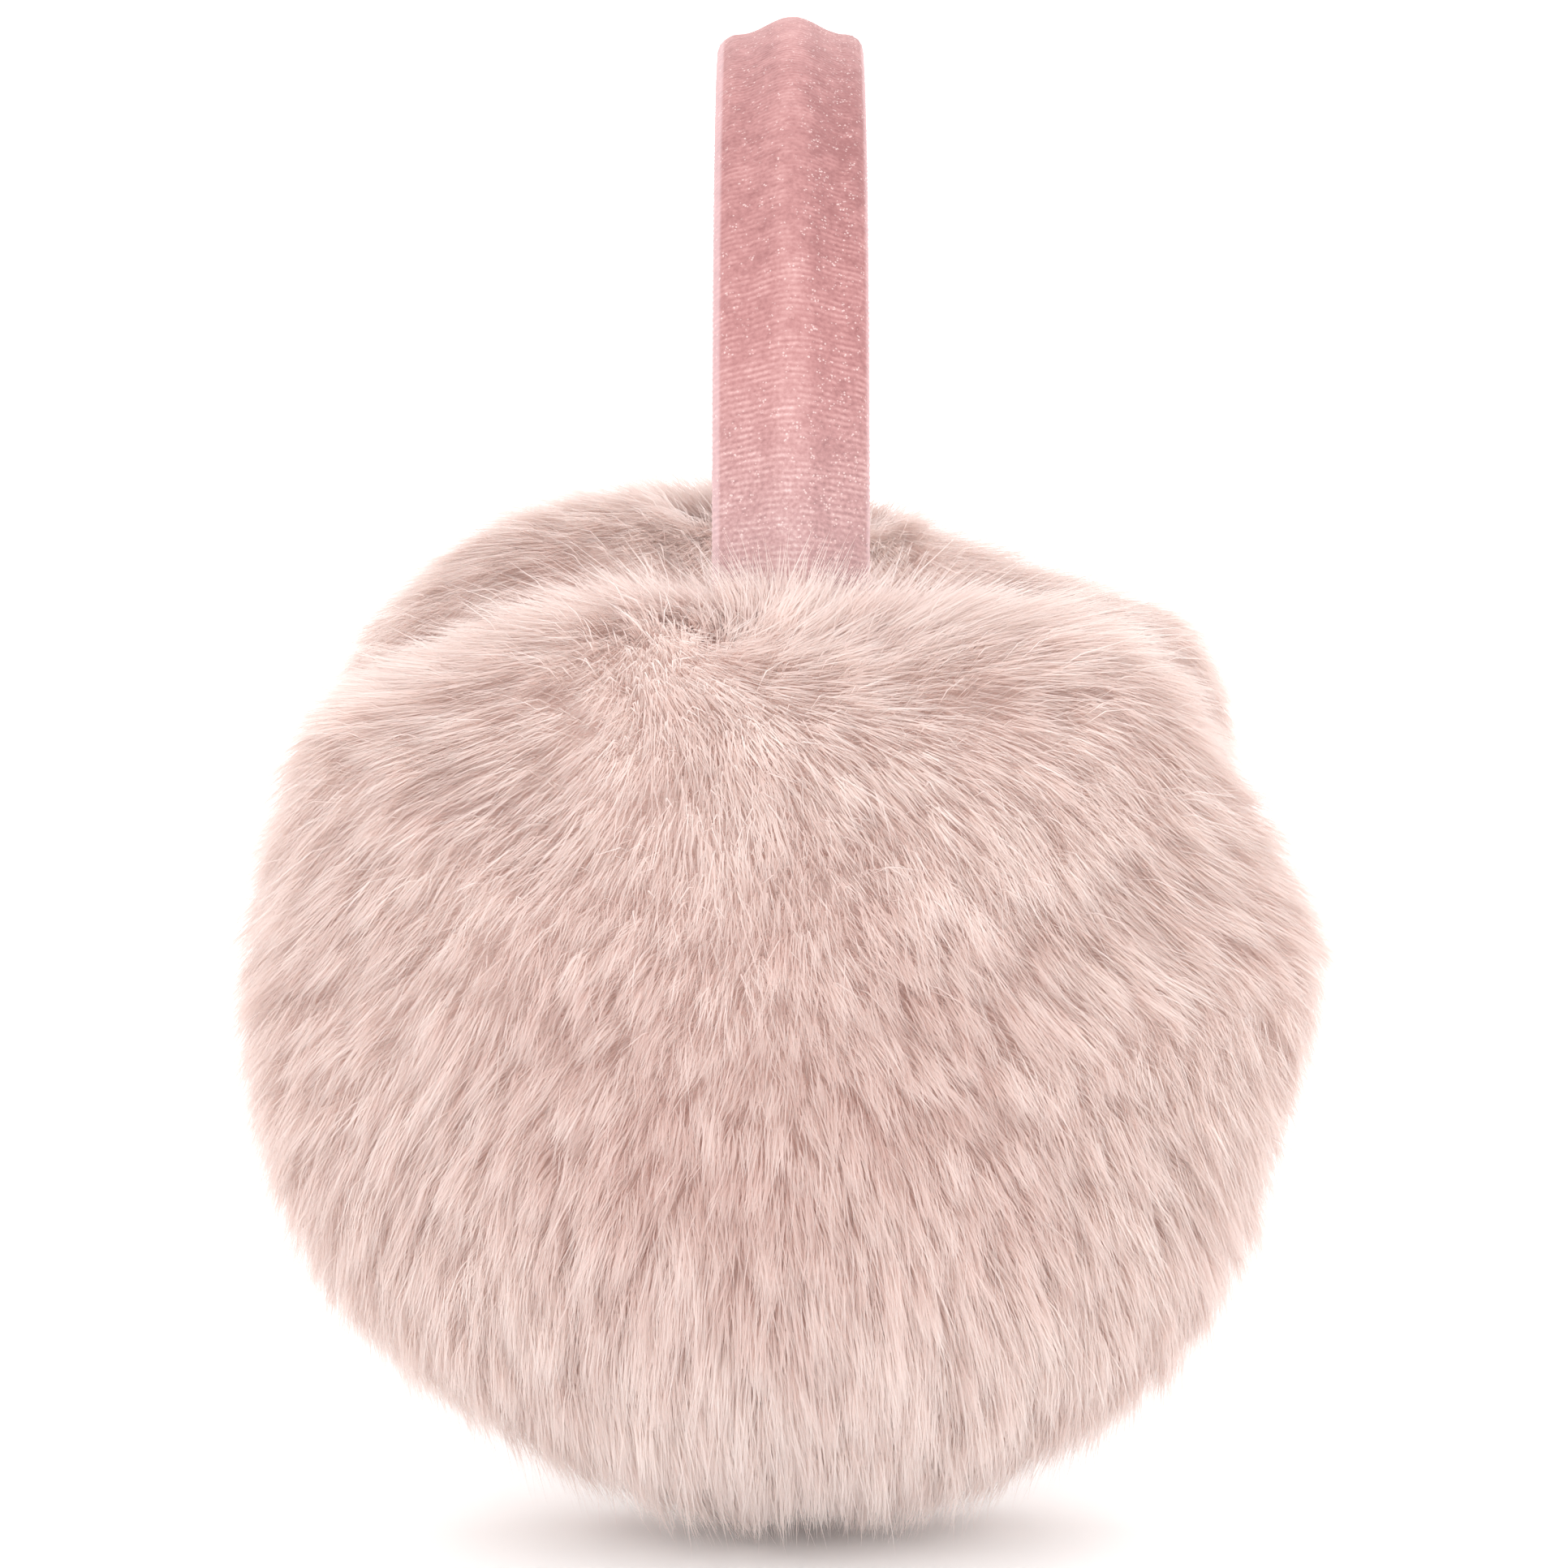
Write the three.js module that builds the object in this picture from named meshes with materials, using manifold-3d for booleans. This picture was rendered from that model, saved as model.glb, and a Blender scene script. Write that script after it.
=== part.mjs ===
// Fur earmuffs: a springy headband in a velvet sleeve, with a long-haired fur muff and a padded ear disc at
// each end. Millimetres, +Z up. X runs from ear to ear and the wearer faces -Y. The origin is the middle of
// the footprint, on the surface that the two muffs stand on.
import * as THREE from "three";
import { mergeVertices } from "three/addons/utils/BufferGeometryUtils.js";
import Module from "manifold-3d";

const wasm = await Module();
wasm.setup();

// Driving sizes
const fitGap = 0.3; // between pieces that touch

const bandWidth = 20;
const bandThickness = 4.6; // at the shoulders, the rolled edges are half of it in radius
const ridgeHeight = 2.5; // how far the spine stands above the shoulders
const ridgeWidth = 15;
const seamHeight = 0.6; // the sewn edge of the sleeve, along its front edge
const archRadius = 75; // to the middle of the sleeve's thickness
const legLength = 22; // the straight end of the band, from its arch down into the muff
const legDepth = 30; // how far a leg's end lies below the top of the muff

const muffHeight = 128; // with the fur, standing
const muffCentre = 68; // height of the widest place
const muffWidth = 145; // with the fur, front to back
const muffBack = 1.5; // how far the muff's middle lies in front of the band's
const muffOuter = 41; // from the band's leg to the outermost fur
const muffInner = 25; // from the band's leg to the fur's inner face
const muffRoundness = { depth: 2.35, above: 2.4, below: 1.8 }; // 2 is an ellipse, more is squarer
const furRise = { face: 6, inner: 3, side: 9.5, top: 5 }; // how far the locks stand out from the backing
const footSink = 1; // how far the fur is crushed where it rests

const lockLength = 29;
const lockWidth = 17;
const lockThickness = 6;
const lockRoot = 4; // depth of a lock's root in the backing

const padDiameter = 78;
const padThickness = 11;
const padProud = 4.5; // how far the pad stands out of the fur's inner face
const padFlat = 44; // diameter of its flat middle
const padCrown = 1.5; // how far the face falls from there to the rim
const padEdge = 3.5; // radius of its rim

// How fine the faces are
const archSteps = 32;
const edgeSteps = 4; // faces round each rolled edge of the band
const ridgeSteps = 8;
const backingDetail = 4;
const padSides = 32;
const padEdgeSteps = 3;

// The whorl that the fur is combed away from, as a direction from the middle of a muff: out, front, up
const whorl = new THREE.Vector3(0.33, -0.14, 0.93).normalize();

// Rings of locks, from the whorl down to the foot. fromWhorl and lift are in degrees, and lift is the lean
// off the backing. length and width are shares of lockLength and lockWidth.
const lockRows = [
  { fromWhorl: 8, count: 5, length: 0.7, width: 0.8, lift: 20 },
  { fromWhorl: 25, count: 9, length: 0.85, width: 0.9, lift: 17 },
  { fromWhorl: 43, count: 12, length: 1, width: 1, lift: 14 },
  { fromWhorl: 61, count: 15, length: 1, width: 1, lift: 13 },
  { fromWhorl: 79, count: 16, length: 1, width: 1.05, lift: 13 },
  { fromWhorl: 97, count: 16, length: 1, width: 1.05, lift: 13 },
  { fromWhorl: 115, count: 14, length: 0.95, width: 1.05, lift: 12 },
  { fromWhorl: 133, count: 11, length: 0.75, width: 1.05, lift: 8 },
  { fromWhorl: 151, count: 7, length: 0.55, width: 1, lift: 8 },
];

// Cross-sections of one lock, from its root to just short of its tip: place along it, and width and
// thickness as shares of the lock's own
const lockSections = [
  { along: 0, width: 0.9, thickness: 1 },
  { along: 0.52, width: 0.85, thickness: 0.9 },
];
const lockBow = 0.1; // how far a lock's middle bows out, as a share of its length
const lockJitter = { turn: 0.3, length: 0.14, lean: 4 }; // share of a step, share of length, degrees

// Geometry helpers

// A closed solid through rings of points, each ring clockwise when looking from the first towards the last.
// A tip closes the far end in a point.
function loft(rings, tip) {
  const size = rings[0].length;
  const points = rings.flat();
  const faces = [];
  for (let r = 0; r + 1 < rings.length; r++)
    for (let i = 0; i < size; i++) {
      const next = (i + 1) % size;
      const [a, b, c, d] = [r * size + i, r * size + next, (r + 1) * size + next, (r + 1) * size + i];
      faces.push(a, b, c, a, c, d);
    }
  const last = (rings.length - 1) * size;
  const startMiddle = points.push(middleOf(rings[0])) - 1;
  const endMiddle = points.push(tip ?? middleOf(rings.at(-1))) - 1;
  for (let i = 0; i < size; i++) {
    const next = (i + 1) % size;
    faces.push(startMiddle, next, i, endMiddle, last + i, last + next);
  }
  const geometry = new THREE.BufferGeometry().setFromPoints(points);
  return geometry.setIndex(faces);
}

function middleOf(points) {
  return points.reduce((sum, p) => sum.add(p), new THREE.Vector3()).divideScalar(points.length);
}

function solidOf(geometry) {
  const bare = geometry.clone();
  bare.deleteAttribute("normal");
  bare.deleteAttribute("uv");
  const merged = mergeVertices(bare, 1e-4);
  const mesh = new wasm.Mesh({
    numProp: 3,
    vertProperties: merged.attributes.position.array,
    triVerts: new Uint32Array(merged.index.array),
  });
  return new wasm.Manifold(mesh);
}

function geometryOf(solid) {
  const mesh = solid.getMesh();
  const geometry = new THREE.BufferGeometry();
  geometry.setAttribute("position", new THREE.BufferAttribute(new Float32Array(mesh.vertProperties), 3));
  geometry.setIndex(new THREE.BufferAttribute(new Uint32Array(mesh.triVerts), 1));
  geometry.computeVertexNormals();
  return geometry;
}

// The same piece on the other side of the YZ plane, its faces still pointing out
function mirrored(geometry) {
  const other = geometry.clone().applyMatrix4(new THREE.Matrix4().makeScale(-1, 1, 1));
  const index = other.index.array;
  for (let i = 0; i < index.length; i += 3) [index[i + 1], index[i + 2]] = [index[i + 2], index[i + 1]];
  other.computeVertexNormals();
  return other;
}

// Headband

// The sleeve's section, anticlockwise, as across (Y) and out (away from the head). Grown all round by grow.
function bandOutline(grow) {
  const half = bandThickness / 2 + grow;
  const straight = bandWidth / 2 - bandThickness / 2;
  const outline = [];
  for (let i = 0; i <= edgeSteps; i++) {
    const turn = Math.PI * (i / edgeSteps - 0.5);
    outline.push(new THREE.Vector2(straight + half * Math.cos(turn), half * Math.sin(turn)));
  }
  for (let i = 1; i < ridgeSteps; i++) {
    const across = straight * (1 - (2 * i) / ridgeSteps);
    const share = Math.min(1, Math.abs(across) / (ridgeWidth / 2));
    outline.push(new THREE.Vector2(across, half + (ridgeHeight * (1 + Math.cos(Math.PI * share))) / 2));
  }
  for (let i = 0; i <= edgeSteps; i++) {
    const turn = Math.PI * (i / edgeSteps + 0.5);
    const reach = half + (2 * i === edgeSteps ? seamHeight : 0);
    outline.push(new THREE.Vector2(-straight + reach * Math.cos(turn), reach * Math.sin(turn)));
  }
  return outline;
}

const legEnd = muffHeight - legDepth;
const archHeight = legEnd + legLength;

// The band from the left leg's end to the right one's. Its legs reach further down by extra.
function band(grow, extra) {
  const outline = bandOutline(grow);
  const ring = (x, z, turn) =>
    outline.map((p) => new THREE.Vector3(x + p.y * Math.cos(turn), p.x, z + p.y * Math.sin(turn)));
  const rings = [ring(-archRadius, legEnd - extra, Math.PI)];
  for (let i = 0; i <= archSteps; i++) {
    const turn = Math.PI * (1 - i / archSteps);
    rings.push(ring(archRadius * Math.cos(turn), archHeight + archRadius * Math.sin(turn), turn));
  }
  rings.push(ring(archRadius, legEnd - extra, 0));
  return loft(rings);
}

// Muffs

const muffMiddle = new THREE.Vector3(archRadius, -muffBack, muffCentre);
const backing = {
  out: muffOuter - furRise.face,
  into: muffInner - furRise.inner,
  side: muffWidth / 2 - furRise.side,
  up: muffHeight - muffCentre - furRise.top,
  down: muffCentre + footSink,
};

// The backing's surface in one direction from the middle of the right-hand muff
function backingPoint(direction) {
  const { depth, above, below } = muffRoundness;
  const x = Math.abs(direction.x) / (direction.x > 0 ? backing.out : backing.into);
  const y = Math.abs(direction.y) / backing.side;
  const z = Math.abs(direction.z) / (direction.z > 0 ? backing.up : backing.down);
  const round = direction.z > 0 ? above : below;
  const outline = (y ** round + z ** round) ** (1 / round);
  const reach = (x ** depth + outline ** depth) ** (-1 / depth);
  return direction.clone().multiplyScalar(reach).add(muffMiddle);
}

const whorlSide = new THREE.Vector3(0, 1, 0).cross(whorl).normalize();
const whorlFront = whorl.clone().cross(whorlSide);

// The backing at an angle from the whorl and a turn about it, in radians. The hand is 1, or -1 for the same
// pattern with its front and back swapped.
function combedPoint(fromWhorl, turn, hand) {
  const direction = whorl
    .clone()
    .multiplyScalar(Math.cos(fromWhorl))
    .addScaledVector(whorlSide, Math.sin(fromWhorl) * Math.cos(turn))
    .addScaledVector(whorlFront, Math.sin(fromWhorl) * Math.sin(turn));
  direction.y *= hand;
  return backingPoint(direction);
}

// A point, the combed direction there and the way out of the surface
function combedFrame(fromWhorl, turn, hand) {
  const step = 0.01;
  const point = combedPoint(fromWhorl, turn, hand);
  const along = combedPoint(fromWhorl + step, turn, hand).sub(point).normalize();
  const across = combedPoint(fromWhorl, turn + step, hand).sub(point).normalize();
  const outward = along.clone().cross(across).normalize();
  if (outward.dot(point.clone().sub(muffMiddle)) < 0) outward.negate();
  return { point, along, outward };
}

function lock(fromWhorl, turn, row, wobble, hand) {
  const { point, along, outward } = combedFrame(fromWhorl, turn, hand);
  const length = lockLength * row.length * (1 + lockJitter.length * wobble);
  const lift = THREE.MathUtils.degToRad(row.lift + lockJitter.lean * wobble);
  const lean = along.clone().multiplyScalar(Math.cos(lift)).addScaledVector(outward, Math.sin(lift));
  const across = outward.clone().cross(along).normalize();
  const up = lean.clone().cross(across);
  if (up.dot(outward) < 0) up.negate();
  const root = point.clone().addScaledVector(outward, -lockRoot);
  const rings = lockSections.map((section) => {
    const bow = lockBow * length * Math.sin(Math.PI * section.along);
    const middle = root.clone().addScaledVector(lean, length * section.along).addScaledVector(outward, bow);
    const halfWidth = (lockWidth * row.width * section.width) / 2;
    const halfThickness = (lockThickness * section.thickness) / 2;
    return [
      middle.clone().addScaledVector(across, halfWidth),
      middle.clone().addScaledVector(up, halfThickness),
      middle.clone().addScaledVector(across, -halfWidth),
      middle.clone().addScaledVector(up, -halfThickness),
    ];
  });
  return loft(rings, root.clone().addScaledVector(lean, length));
}

// The largest body of a solid, without what was cut off from it and without sealed pockets
function mainBody(solid) {
  return solid.decompose().reduce((most, body) => (body.volume() > most.volume() ? body : most));
}

const padFace = archRadius - muffInner; // the plane where the fur ends and the pad comes out
const padBack = padFace + padThickness - padProud;

// A round block about the pad's axis, from the middle of the earmuffs out to an X
function padBlock(radius, to) {
  const profile = [[0, 0], [radius, 0], [radius, to], [0, to]];
  return turnedAboutX(profile.map(([out, x]) => new THREE.Vector2(out, x)));
}

// A lathe profile, radius and X, turned about the pad's axis
function turnedAboutX(profile) {
  const geometry = new THREE.LatheGeometry(profile, padSides);
  geometry.rotateZ(-Math.PI / 2);
  geometry.translate(0, -muffBack, muffCentre);
  return geometry;
}

function furMuff(hand) {
  const dome = new THREE.IcosahedronGeometry(1, backingDetail);
  const position = dome.attributes.position;
  const direction = new THREE.Vector3();
  for (let i = 0; i < position.count; i++) {
    const point = backingPoint(direction.fromBufferAttribute(position, i).normalize());
    position.setXYZ(i, point.x, point.y, point.z);
  }
  const reach = 4 * muffWidth;
  const floor = new THREE.BoxGeometry(reach, reach, reach).translate(0, 0, -reach / 2);
  const innerCut = new THREE.BoxGeometry(reach, reach, reach).translate(padFace - reach / 2, 0, 0);
  let fur = solidOf(dome).subtract(solidOf(innerCut));
  lockRows.forEach((row, rowNumber) => {
    for (let i = 0; i < row.count; i++) {
      const wobble = Math.sin(12.9 * rowNumber + 78.2 * i);
      const step = (2 * Math.PI) / row.count;
      const turn = step * (i + (rowNumber % 2) / 2 + lockJitter.turn * wobble);
      fur = fur.add(solidOf(lock(THREE.MathUtils.degToRad(row.fromWhorl), turn, row, wobble, hand)));
    }
  });
  fur = fur
    .subtract(solidOf(floor))
    .subtract(solidOf(band(fitGap, fitGap)))
    .subtract(solidOf(padBlock(padDiameter / 2 + fitGap, padBack + fitGap)));
  return geometryOf(mainBody(fur));
}

// The ear pad: a crowned disc with a rounded rim, its flat back in the fur's recess
function earPad() {
  const radius = padDiameter / 2;
  const front = padBack - padThickness;
  const profile = [new THREE.Vector2(0, front), new THREE.Vector2(padFlat / 2, front)];
  for (let i = 0; i <= padEdgeSteps; i++) {
    const turn = (Math.PI / 2) * (i / padEdgeSteps);
    const out = radius - padEdge + padEdge * Math.sin(turn);
    profile.push(new THREE.Vector2(out, front + padCrown + padEdge - padEdge * Math.cos(turn)));
  }
  profile.push(new THREE.Vector2(radius, padBack), new THREE.Vector2(0, padBack));
  return turnedAboutX(profile);
}

// Materials

const velvet = new THREE.MeshStandardMaterial({ color: 0xd99c9c, roughness: 0.75, metalness: 0 });
const blushFur = new THREE.MeshStandardMaterial({ color: 0xecd0c6, roughness: 0.9, metalness: 0 });
const plush = new THREE.MeshStandardMaterial({ color: 0xdfb3ae, roughness: 0.9, metalness: 0 });

// Assembly

function piece(name, geometry, material) {
  const mesh = new THREE.Mesh(geometry, material);
  mesh.name = name;
  return mesh;
}

const padRight = geometryOf(solidOf(earPad()));

const earmuffs = new THREE.Group();
earmuffs.add(
  piece("headband", band(0, 0), velvet),
  piece("fur_right", furMuff(1), blushFur),
  piece("fur_left", mirrored(furMuff(-1)), blushFur),
  piece("ear_pad_right", padRight, plush),
  piece("ear_pad_left", mirrored(padRight), plush),
);

const footprint = new THREE.Box3().setFromObject(earmuffs, true);
earmuffs.position.y = -(footprint.min.y + footprint.max.y) / 2;

export default earmuffs;
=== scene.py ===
import math

import bmesh
import bpy
import numpy as np
from mathutils import Matrix, Vector, noise


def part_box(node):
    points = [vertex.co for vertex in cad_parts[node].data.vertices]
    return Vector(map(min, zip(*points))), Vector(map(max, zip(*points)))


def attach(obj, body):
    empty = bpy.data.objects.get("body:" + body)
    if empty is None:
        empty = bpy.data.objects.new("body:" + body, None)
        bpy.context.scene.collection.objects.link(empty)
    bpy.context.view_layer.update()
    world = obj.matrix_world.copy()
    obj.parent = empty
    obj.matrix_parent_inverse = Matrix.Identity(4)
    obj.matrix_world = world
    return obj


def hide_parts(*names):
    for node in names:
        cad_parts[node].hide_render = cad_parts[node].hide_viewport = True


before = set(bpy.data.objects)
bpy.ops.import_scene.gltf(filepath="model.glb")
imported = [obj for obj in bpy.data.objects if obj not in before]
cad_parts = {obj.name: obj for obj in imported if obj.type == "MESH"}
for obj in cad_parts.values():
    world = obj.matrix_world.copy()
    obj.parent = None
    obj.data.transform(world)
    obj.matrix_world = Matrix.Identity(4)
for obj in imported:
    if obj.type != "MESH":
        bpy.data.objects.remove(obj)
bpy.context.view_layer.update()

mm = 0.001
tiny = 1e-6  # keeps a division away from nought

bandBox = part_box("headband")
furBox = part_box("fur_right")
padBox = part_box("ear_pad_right")
print("frame loaded")


# small tools for numbers, nodes and meshes


def smooth(low, high, value):
    share = np.clip((value - low) / (high - low), 0, 1)
    return share * share * (3 - 2 * share)


def blended(a, b, share):
    return a + (b - a) * share


class Wire:  # a node's socket that takes part in plain arithmetic
    def __init__(self, graph, socket):
        self.graph = graph
        self.socket = socket

    def maths(self, operation, first, second):
        return self.graph.node("ShaderNodeMath", {"operation": operation}, {0: first, 1: second})

    def __add__(self, other):
        return self.maths("ADD", self, other)

    def __radd__(self, other):
        return self.maths("ADD", other, self)

    def __sub__(self, other):
        return self.maths("SUBTRACT", self, other)

    def __rsub__(self, other):
        return self.maths("SUBTRACT", other, self)

    def __mul__(self, other):
        return self.maths("MULTIPLY", self, other)

    def __rmul__(self, other):
        return self.maths("MULTIPLY", other, self)

    def __truediv__(self, other):
        return self.maths("DIVIDE", self, other)

    def __rtruediv__(self, other):
        return self.maths("DIVIDE", other, self)

    def __pow__(self, other):
        return self.maths("POWER", self, other)


class Graph:  # adds nodes to a shader or geometry tree
    def __init__(self, tree):
        self.tree = tree

    def node(self, kind, settings, sockets, out=0):
        made = self.tree.nodes.new(kind)
        for name, value in settings.items():
            if name == "stops":
                self.setStops(made.color_ramp, value)
            else:
                setattr(made, name, value)
        live = [s for s in made.inputs if s.enabled]
        for key, value in sockets.items():
            if value is None:
                continue
            socket = live[key] if isinstance(key, int) else next(s for s in live if s.name == key)
            if isinstance(value, Wire):
                self.tree.links.new(value.socket, socket)
            else:
                socket.default_value = value
        shown = [s for s in made.outputs if s.enabled]
        return Wire(self, shown[out] if isinstance(out, int) else next(s for s in shown if s.name == out))

    def setStops(self, ramp, stops):
        while len(ramp.elements) < len(stops):
            ramp.elements.new(0.5)
        for element, (place, colour) in zip(ramp.elements, stops):
            element.position = place
            element.color = (*colour, 1)

    def sine(self, value):
        return self.node("ShaderNodeMath", {"operation": "SINE"}, {0: value})

    def clamped(self, value, low=0.0, high=1.0):
        return self.node("ShaderNodeClamp", {}, {"Value": value, "Min": low, "Max": high})

    def remapped(self, value, low, high, start=0.0, end=1.0):
        sockets = {"Value": value, 1: low, 2: high, 3: start, 4: end}
        return self.node("ShaderNodeMapRange", {"interpolation_type": "SMOOTHSTEP"}, sockets)

    def vector(self, operation, first, second=None):
        return self.node("ShaderNodeVectorMath", {"operation": operation}, {0: first, 1: second})

    def scaled(self, vector, factor):
        return self.node("ShaderNodeVectorMath", {"operation": "SCALE"}, {0: vector, 1: factor})

    def colours(self, a, b, factor):
        return self.node("ShaderNodeMix", {"data_type": "RGBA"}, {"Factor": factor, "A": a, "B": b})

    def vectors(self, a, b, factor):
        return self.node("ShaderNodeMix", {"data_type": "VECTOR"}, {"Factor": factor, "A": a, "B": b})

    def attribute(self, name, out="Fac"):
        return self.node("ShaderNodeAttribute", {"attribute_name": name}, {}, out)

    def named(self, name, kind="FLOAT"):
        return self.node("GeometryNodeInputNamedAttribute", {"data_type": kind}, {"Name": name})

    def stored(self, geometry, name, value, kind="FLOAT", domain="POINT"):
        settings = {"data_type": kind, "domain": domain}
        sockets = {"Geometry": geometry, "Name": name, "Value": value}
        return self.node("GeometryNodeStoreNamedAttribute", settings, sockets)

    def random(self, low, high, seed, kind="FLOAT"):
        sockets = {"Min": low, "Max": high, "Seed": seed}
        return self.node("FunctionNodeRandomValue", {"data_type": kind}, sockets)


def linear(red, green, blue):  # a screen colour, 0 to 255, as the shader wants it
    return tuple(((c / 255 + 0.055) / 1.055) ** 2.4 if c > 10 else c / 3295 for c in (red, green, blue))


def colour(red, green, blue):
    return (*linear(red, green, blue), 1)


def newMaterial(name):
    material = bpy.data.materials.new(name)
    material.use_nodes = True
    graph = Graph(material.node_tree)
    shader = next(n for n in material.node_tree.nodes if n.type == "BSDF_PRINCIPLED")
    return material, graph, shader


def feed(graph, wire, shader, name):
    graph.tree.links.new(wire.socket, shader.inputs[name])


def newObject(name, mesh, material=None):
    made = bpy.data.objects.new(name, mesh)
    bpy.context.scene.collection.objects.link(made)
    if material:
        made.data.materials.append(material)
    return made


def meshOf(name, points, faces):
    mesh = bpy.data.meshes.new(name)
    mesh.from_pydata([tuple(p) for p in points], [], [tuple(int(i) for i in f) for f in faces])
    mesh.update()
    return mesh


def addFloats(mesh, name, values):
    mesh.attributes.new(name, "FLOAT", "POINT").data.foreach_set("value", np.asarray(values, np.float32))


def addVectors(mesh, name, values):
    flat = np.asarray(values, np.float32).ravel()
    mesh.attributes.new(name, "FLOAT_VECTOR", "POINT").data.foreach_set("vector", flat)


def newTree(name, inputs):  # an empty geometry tree with its named inputs
    tree = bpy.data.node_groups.new(name, "GeometryNodeTree")
    tree.interface.new_socket("Geometry", in_out="INPUT", socket_type="NodeSocketGeometry")
    for label, kind in inputs:
        tree.interface.new_socket(label, in_out="INPUT", socket_type=kind)
    tree.interface.new_socket("Geometry", in_out="OUTPUT", socket_type="NodeSocketGeometry")
    graph = Graph(tree)
    entry = tree.nodes.new("NodeGroupInput")
    return graph, {s.name: Wire(graph, s) for s in entry.outputs if s.name}


def finishTree(graph, geometry):
    end = graph.tree.nodes.new("NodeGroupOutput")
    graph.tree.links.new(geometry.socket, end.inputs[0])
    return graph.tree


def grown(base, tree, values, name):  # runs a tree on an object and returns the result as a plain object
    modifier = base.modifiers.new("grow", "NODES")
    modifier.node_group = tree
    for item in tree.interface.items_tree:
        if item.in_out == "INPUT" and item.name in values:
            modifier[item.identifier] = values[item.name]
    graph = bpy.context.evaluated_depsgraph_get()
    mesh = bpy.data.meshes.new_from_object(base.evaluated_get(graph), depsgraph=graph)
    base.modifiers.remove(modifier)
    mesh.name = name
    return newObject(name, mesh)


# camera, light and floor

view = {
    "place": (0.728, 0.0003, 0.196),
    "aim": (0.075, 0.0003, 0.1),
    "lens": 115.6,
    "sensor": 36,
}


def facing(start, end):
    return (Vector(end) - Vector(start)).to_track_quat("-Z", "Y").to_matrix().to_4x4()


def makeCamera():
    data = bpy.data.cameras.new("camera")
    data.lens = view["lens"]
    data.sensor_width = view["sensor"]
    data.clip_start = 0.01
    data.dof.use_dof = False
    made = bpy.data.objects.new("camera", data)
    bpy.context.scene.collection.objects.link(made)
    made.matrix_world = Matrix.Translation(view["place"]) @ facing(view["place"], view["aim"])
    bpy.context.scene.camera = made


studio = {
    "world": 1.63,  # even light from all round, as in a light tent
    "floorRadius": 6,
    "floorSides": 64,
    "floorColour": (253, 253, 253),
}


def makeStudio():
    world = bpy.data.worlds.new("studio")
    world.use_nodes = True
    background = next(n for n in world.node_tree.nodes if n.type == "BACKGROUND")
    background.inputs["Color"].default_value = (1, 1, 1, 1)
    background.inputs["Strength"].default_value = studio["world"]
    bpy.context.scene.world = world
    radius, sides = studio["floorRadius"], studio["floorSides"]
    ring = [(math.cos(a) * radius, math.sin(a) * radius, 0)
            for a in np.linspace(0, 2 * math.pi, sides, endpoint=False)]
    material, _, shader = newMaterial("paper")
    shader.inputs["Roughness"].default_value = 0.9
    shader.inputs["Base Color"].default_value = colour(*studio["floorColour"])
    floor = newObject("floor", meshOf("floor", ring, [list(range(sides))]), material)
    bpy.context.scene.view_settings.view_transform = "Standard"


makeCamera()
makeStudio()
print("camera and studio made")


# headband

band = {
    "width": 20 * mm,
    "thickness": 4.6 * mm,
    "ridgeHeight": 2.5 * mm,
    "ridgeWidth": 15 * mm,
    "seam": 0.6 * mm,  # the sewn edge stands out by this
    "radius": 75 * mm,
    "ribPitch": 0.85 * mm,
    "ribHeight": 0.08 * mm,
    "ribSteps": 3,  # rings to a rib
    "climb": 1.1 * mm,  # how far a rib climbs from the edge to the ridge
    "climbStray": 0.7 * mm,  # how far a rib strays from its curve
}
band["middle"] = (bandBox[0].y + band["seam"] + bandBox[1].y) / 2
band["legEnd"] = bandBox[0].z
band["archHeight"] = bandBox[1].z - band["radius"] - band["thickness"] / 2 - band["ridgeHeight"]


def bandSection():  # points round the sleeve: across and outward
    half = band["thickness"] / 2
    straight = band["width"] / 2 - half
    points = []
    for a in np.linspace(-math.pi / 2, math.pi / 2, 9):
        points.append((straight + half * math.cos(a), half * math.sin(a)))
    for share in np.linspace(1, -1, 23)[1:-1]:
        across = straight * share
        slope = min(1, abs(across) / (band["ridgeWidth"] / 2))
        points.append((across, half + band["ridgeHeight"] * (1 + math.cos(math.pi * slope)) / 2))
    for a in np.linspace(math.pi / 2, math.pi * 1.5, 11):
        reach = half + band["seam"] * max(0, -math.cos(a)) ** 6
        points.append((-straight + reach * math.cos(a), reach * math.sin(a)))
    for share in np.linspace(-1, 1, 13)[1:-1]:
        points.append((straight * share, -half))
    return np.array(points)


def bandPath():  # left leg's foot, over the arch, to the right leg's foot: place and outward way of each ring
    leg = band["archHeight"] - band["legEnd"]
    arch = math.pi * band["radius"]
    total = 2 * leg + arch
    rings = int(total / band["ribPitch"] * band["ribSteps"])
    places = []
    for run in np.linspace(0, total, rings + 1):
        if run < leg:
            places.append((run, -band["radius"], band["legEnd"] + run, math.pi))
        elif run < leg + arch:
            turn = math.pi - (run - leg) / band["radius"]
            x = band["radius"] * math.cos(turn)
            places.append((run, x, band["archHeight"] + band["radius"] * math.sin(turn), turn))
        else:
            places.append((run, band["radius"], band["archHeight"] - (run - leg - arch), 0))
    return np.array(places), total


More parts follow.
